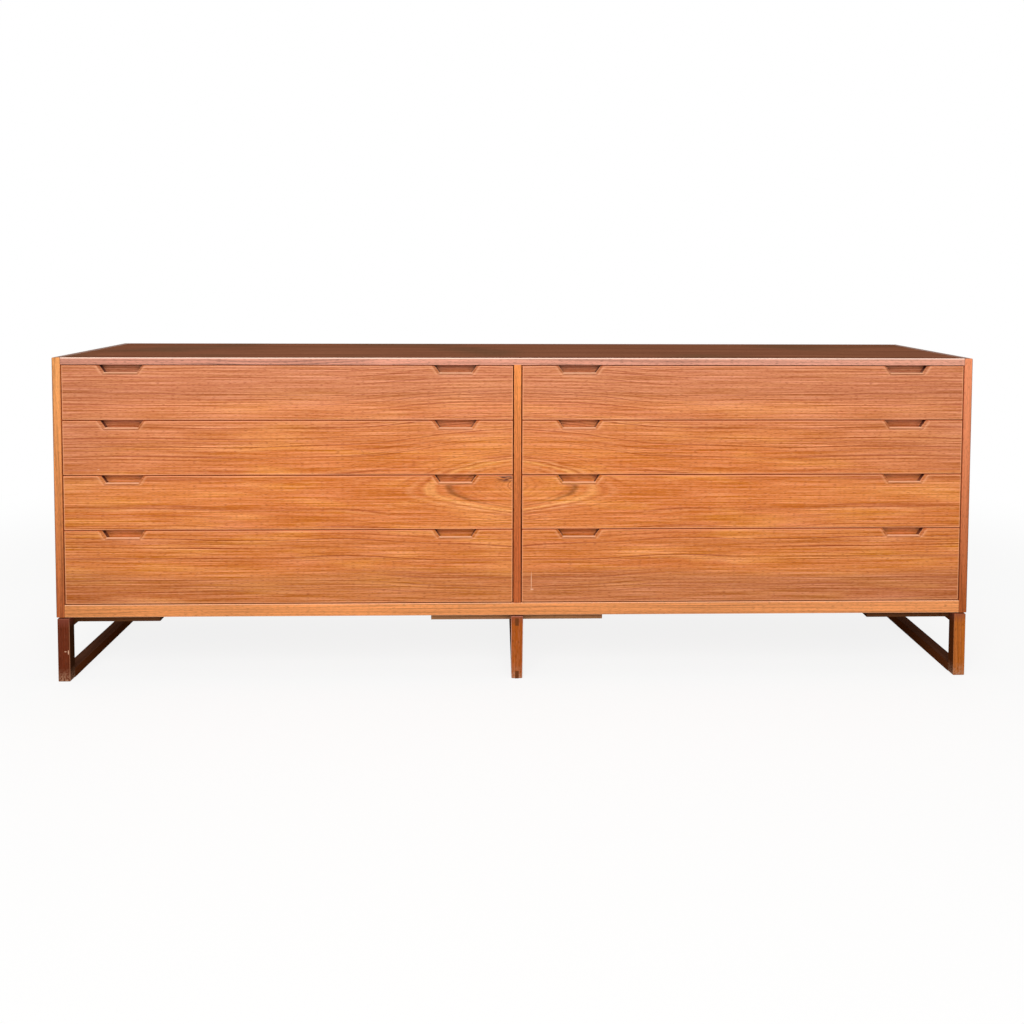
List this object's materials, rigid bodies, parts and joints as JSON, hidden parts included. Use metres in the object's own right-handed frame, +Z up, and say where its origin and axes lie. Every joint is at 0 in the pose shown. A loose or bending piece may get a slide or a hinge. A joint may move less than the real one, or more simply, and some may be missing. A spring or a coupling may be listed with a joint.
{
  "type": "dresser with drawers",
  "caption": "Low, wide teak dresser: inset drawers with bevelled finger pulls slide on wooden runners in a veneered case that stands on open sled frames.",
  "frame": {"origin": "on the floor below the middle of the case", "axes": "+X to the right seen from the front, +Y to the back, +Z up; the drawers open towards -Y"},
  "size_m": [2, 0.45, 0.708],
  "materials": {
    "teak_veneer": "oiled satin",
    "solid_teak": "oiled satin",
    "plate_teak": "plain sanded",
    "drawer_beech": "plain sanded",
    "plywood": "plain sanded",
    "screw_steel": "zinc plated"
  },
  "bodies": {
    "case": {"left_side_panel": "teak_veneer", "right_side_panel": "teak_veneer", "top_panel": "teak_veneer", "bottom_panel": "teak_veneer", "centre_divider": "teak_veneer", "back_panels": "plywood", "left_side_runners": "drawer_beech", "divider_left_runners": "drawer_beech", "divider_right_runners": "drawer_beech", "right_side_runners": "drawer_beech", "left_front_post": "solid_teak", "right_front_post": "solid_teak", "left_back_post": "solid_teak", "right_back_post": "solid_teak", "left_floor_runner": "solid_teak", "right_floor_runner": "solid_teak", "left_top_rail": "solid_teak", "right_top_rail": "solid_teak", "left_mounting_plate": "plate_teak", "right_mounting_plate": "plate_teak", "centre_front_post": "solid_teak", "centre_back_post": "solid_teak", "centre_floor_runner": "solid_teak", "centre_top_rail": "solid_teak", "centre_mounting_plate": "plate_teak", "runner_screws": "screw_steel", "back_screws": "screw_steel", "plate_screws": "screw_steel"},
    "left_drawer_1": {"left_drawer_1_front": "teak_veneer", "left_drawer_1_sides": "drawer_beech", "left_drawer_1_back": "drawer_beech", "left_drawer_1_bottom": "plywood"},
    "left_drawer_2": {"left_drawer_2_front": "teak_veneer", "left_drawer_2_sides": "drawer_beech", "left_drawer_2_back": "drawer_beech", "left_drawer_2_bottom": "plywood"},
    "left_drawer_3": {"left_drawer_3_front": "teak_veneer", "left_drawer_3_sides": "drawer_beech", "left_drawer_3_back": "drawer_beech", "left_drawer_3_bottom": "plywood"},
    "left_drawer_4": {"left_drawer_4_front": "teak_veneer", "left_drawer_4_sides": "drawer_beech", "left_drawer_4_back": "drawer_beech", "left_drawer_4_bottom": "plywood"},
    "right_drawer_1": {"right_drawer_1_front": "teak_veneer", "right_drawer_1_sides": "drawer_beech", "right_drawer_1_back": "drawer_beech", "right_drawer_1_bottom": "plywood"},
    "right_drawer_2": {"right_drawer_2_front": "teak_veneer", "right_drawer_2_sides": "drawer_beech", "right_drawer_2_back": "drawer_beech", "right_drawer_2_bottom": "plywood"},
    "right_drawer_3": {"right_drawer_3_front": "teak_veneer", "right_drawer_3_sides": "drawer_beech", "right_drawer_3_back": "drawer_beech", "right_drawer_3_bottom": "plywood"},
    "right_drawer_4": {"right_drawer_4_front": "teak_veneer", "right_drawer_4_sides": "drawer_beech", "right_drawer_4_back": "drawer_beech", "right_drawer_4_bottom": "plywood"}
  },
  "joints": [
    {"name": "left_drawer_1_slide", "type": "slide", "parent": "case", "child": "left_drawer_1", "axis": [0, -1, 0], "range_m": [0, 0.3]},
    {"name": "left_drawer_2_slide", "type": "slide", "parent": "case", "child": "left_drawer_2", "axis": [0, -1, 0], "range_m": [0, 0.3]},
    {"name": "left_drawer_3_slide", "type": "slide", "parent": "case", "child": "left_drawer_3", "axis": [0, -1, 0], "range_m": [0, 0.3]},
    {"name": "left_drawer_4_slide", "type": "slide", "parent": "case", "child": "left_drawer_4", "axis": [0, -1, 0], "range_m": [0, 0.3]},
    {"name": "right_drawer_1_slide", "type": "slide", "parent": "case", "child": "right_drawer_1", "axis": [0, -1, 0], "range_m": [0, 0.3]},
    {"name": "right_drawer_2_slide", "type": "slide", "parent": "case", "child": "right_drawer_2", "axis": [0, -1, 0], "range_m": [0, 0.3]},
    {"name": "right_drawer_3_slide", "type": "slide", "parent": "case", "child": "right_drawer_3", "axis": [0, -1, 0], "range_m": [0, 0.3]},
    {"name": "right_drawer_4_slide", "type": "slide", "parent": "case", "child": "right_drawer_4", "axis": [0, -1, 0], "range_m": [0, 0.3]}
  ]
}
